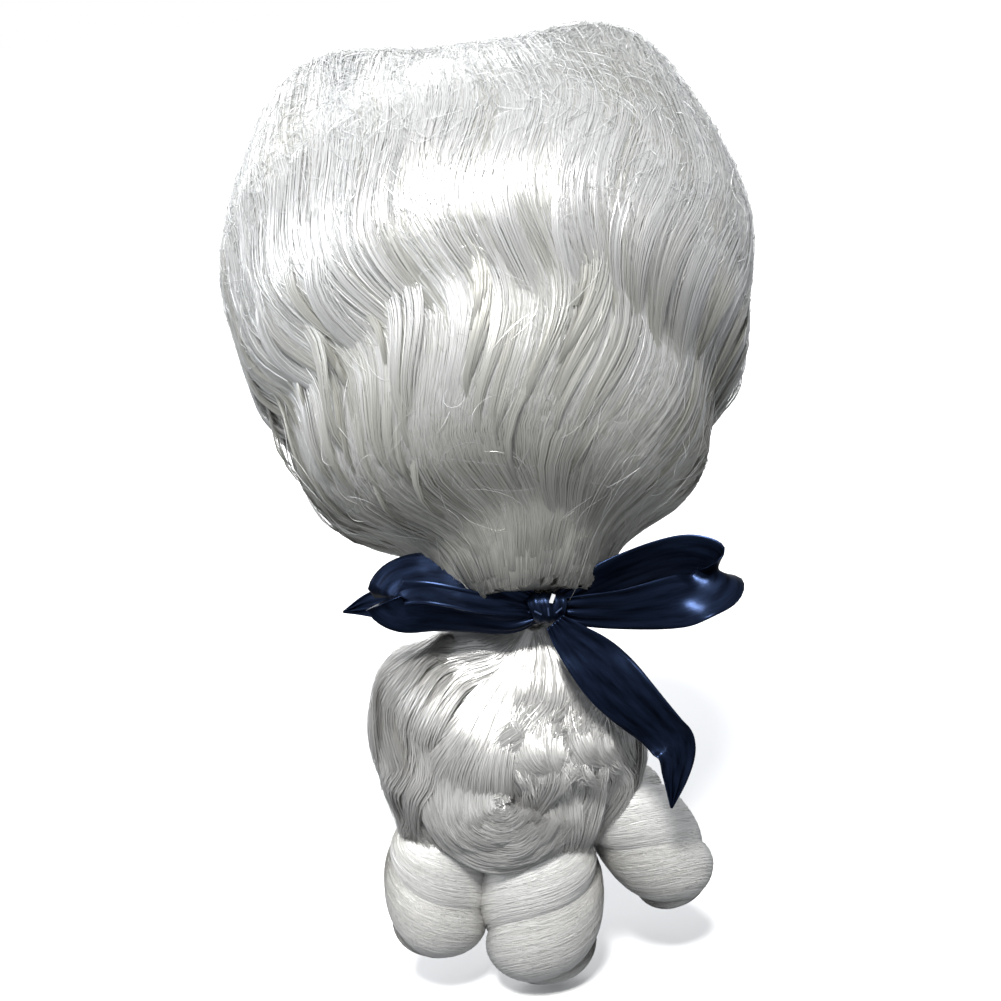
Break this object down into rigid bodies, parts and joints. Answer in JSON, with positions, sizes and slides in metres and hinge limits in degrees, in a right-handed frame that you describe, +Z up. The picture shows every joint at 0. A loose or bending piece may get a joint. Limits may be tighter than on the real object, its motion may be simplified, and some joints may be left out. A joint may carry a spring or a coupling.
{
  "type": "costume wig",
  "caption": "Costume wig: an elastic cap under white waved hair, drawn back at the nape into a hanging queue that ends in sausage ringlets and is tied with a navy satin ribbon bow.",
  "frame": {"origin": "centre of the head opening, level with the cap's edge over the ears", "axes": "+Z up through the crown, -Y out of the face opening, +X towards the wearer's left"},
  "size_m": [0.2156, 0.2335, 0.3703],
  "materials": {
    "hair": "glossy silver-white synthetic fibre",
    "weft": "sewn fibre tape",
    "net": "open elastic net",
    "elastic": "matt woven elastic",
    "satin": "glossy satin",
    "thread": "matt thread",
    "tag_plastic": "translucent white",
    "hook": "coated",
    "label": "blank satin label"
  },
  "bodies": {
    "wig": {"crown_net": "net", "front_band": "elastic", "ear_band_left": "elastic", "ear_band_right": "elastic", "nape_band": "elastic", "crown_strap_centre": "elastic", "crown_strap_left": "elastic", "crown_strap_right": "elastic", "care_label": "label", "weft_row_1": "weft", "weft_row_2": "weft", "weft_row_3": "weft", "weft_row_4": "weft", "weft_row_5": "weft", "weft_row_6": "weft", "weft_row_7": "weft", "weft_row_8": "weft", "adjuster_loops_left": "elastic", "adjuster_loops_right": "elastic", "hair_crown": "hair", "hair_front": "hair", "hair_puff_left": "hair", "hair_puff_right": "hair", "hair_side_left": "hair", "hair_side_right": "hair", "hair_back_upper": "hair", "hair_back_lower": "hair", "hair_gather": "hair", "tie_elastic": "elastic", "bow_wrap": "satin", "bow_knot": "satin", "bow_stitches": "thread", "tag_stub": "tag_plastic"},
    "ear_tab_left": {"ear_tab_left": "elastic", "ear_stay_left": "hook"},
    "ear_tab_right": {"ear_tab_right": "elastic", "ear_stay_right": "hook"},
    "adjuster_left": {"adjuster_strap_left": "elastic", "adjuster_hook_left": "hook"},
    "adjuster_right": {"adjuster_strap_right": "elastic", "adjuster_hook_right": "hook"},
    "bow_loop_left": {"bow_loop_left": "satin"},
    "bow_loop_right": {"bow_loop_right": "satin"},
    "bow_tail_left": {"bow_tail_left": "satin"},
    "bow_tail_right": {"bow_tail_right": "satin"},
    "bow_tail_right_tip": {"bow_tail_right_tip": "satin"},
    "queue_root": {"queue_root": "hair"},
    "queue": {"queue_core": "hair", "queue_wave_left": "hair", "queue_wave_centre": "hair", "queue_wave_right": "hair", "queue_under": "hair"},
    "ringlet_left": {"ringlet_left": "hair"},
    "ringlet_centre": {"ringlet_centre": "hair"},
    "ringlet_right": {"ringlet_right": "hair"}
  },
  "joints": [
    {"name": "ear_tab_left_bend", "type": "hinge", "parent": "wig", "child": "ear_tab_left", "pos_m": [0.06218, -0.06103, -0.00093], "axis": [0.5281, 0.8492, 0], "range_deg": [0, 25]},
    {"name": "ear_tab_right_bend", "type": "hinge", "parent": "wig", "child": "ear_tab_right", "pos_m": [-0.06218, -0.06103, -0.00093], "axis": [0.5281, -0.8492, 0], "range_deg": [0, 25]},
    {"name": "adjuster_left_swing", "type": "hinge", "parent": "wig", "child": "adjuster_left", "pos_m": [0.03572, 0.06177, -0.06391], "axis": [0, 0, 1], "range_deg": [0, 55]},
    {"name": "adjuster_right_swing", "type": "hinge", "parent": "wig", "child": "adjuster_right", "pos_m": [-0.03572, 0.06177, -0.06391], "axis": [0, 0, -1], "range_deg": [0, 55]},
    {"name": "bow_loop_left_lift", "type": "hinge", "parent": "wig", "child": "bow_loop_left", "pos_m": [0.0015, 0.093, -0.089], "axis": [0, 0, 1], "range_deg": [0, 25], "stiffness_Nm_per_rad": 0.004},
    {"name": "bow_loop_right_lift", "type": "hinge", "parent": "wig", "child": "bow_loop_right", "pos_m": [-0.0155, 0.093, -0.089], "axis": [0, 0, -1], "range_deg": [0, 25], "stiffness_Nm_per_rad": 0.004},
    {"name": "bow_tail_left_lift", "type": "hinge", "parent": "wig", "child": "bow_tail_left", "pos_m": [0.0015, 0.091, -0.089], "axis": [0, 0, 1], "range_deg": [0, 25]},
    {"name": "queue_swing", "type": "hinge", "parent": "wig", "child": "queue_root", "pos_m": [0, 0.072, -0.104], "axis": [1, 0, 0], "range_deg": [-15, 25], "stiffness_Nm_per_rad": 0.12},
    {"name": "queue_sway", "type": "hinge", "parent": "queue_root", "child": "queue", "pos_m": [0, 0.072, -0.104], "axis": [0, 1, 0], "range_deg": [-12, 12], "stiffness_Nm_per_rad": 0.12},
    {"name": "bow_tail_right_lift", "type": "hinge", "parent": "wig", "child": "bow_tail_right", "pos_m": [-0.007, 0.099, -0.093], "axis": [1, 0, 0], "range_deg": [-15, 25]},
    {"name": "bow_tail_tip_lift", "type": "hinge", "parent": "bow_tail_right", "child": "bow_tail_right_tip", "pos_m": [-0.0465, 0.1058, -0.1433], "axis": [0.9191, 0, -0.3939], "range_deg": [0, 35], "stiffness_Nm_per_rad": 0.0006},
    {"name": "ringlet_left_swing", "type": "hinge", "parent": "queue", "child": "ringlet_left", "pos_m": [0.05023, 0.07, -0.19927], "axis": [0.9945, 0, 0.1045], "range_deg": [-20, 20], "stiffness_Nm_per_rad": 0.01},
    {"name": "ringlet_centre_swing", "type": "hinge", "parent": "queue", "child": "ringlet_centre", "pos_m": [0.00595, 0.075, -0.20845], "axis": [0.9945, 0, 0.1045], "range_deg": [-20, 20], "stiffness_Nm_per_rad": 0.01},
    {"name": "ringlet_right_swing", "type": "hinge", "parent": "queue", "child": "ringlet_right", "pos_m": [-0.03393, 0.066, -0.19253], "axis": [0.9945, 0, 0.1045], "range_deg": [-20, 20], "stiffness_Nm_per_rad": 0.01}
  ],
  "couplings": [
    {"joint": "bow_tail_left_lift", "follows": "bow_loop_left_lift", "ratio": 1},
    {"joint": "bow_tail_right_lift", "follows": "queue_swing", "ratio": 1}
  ]
}
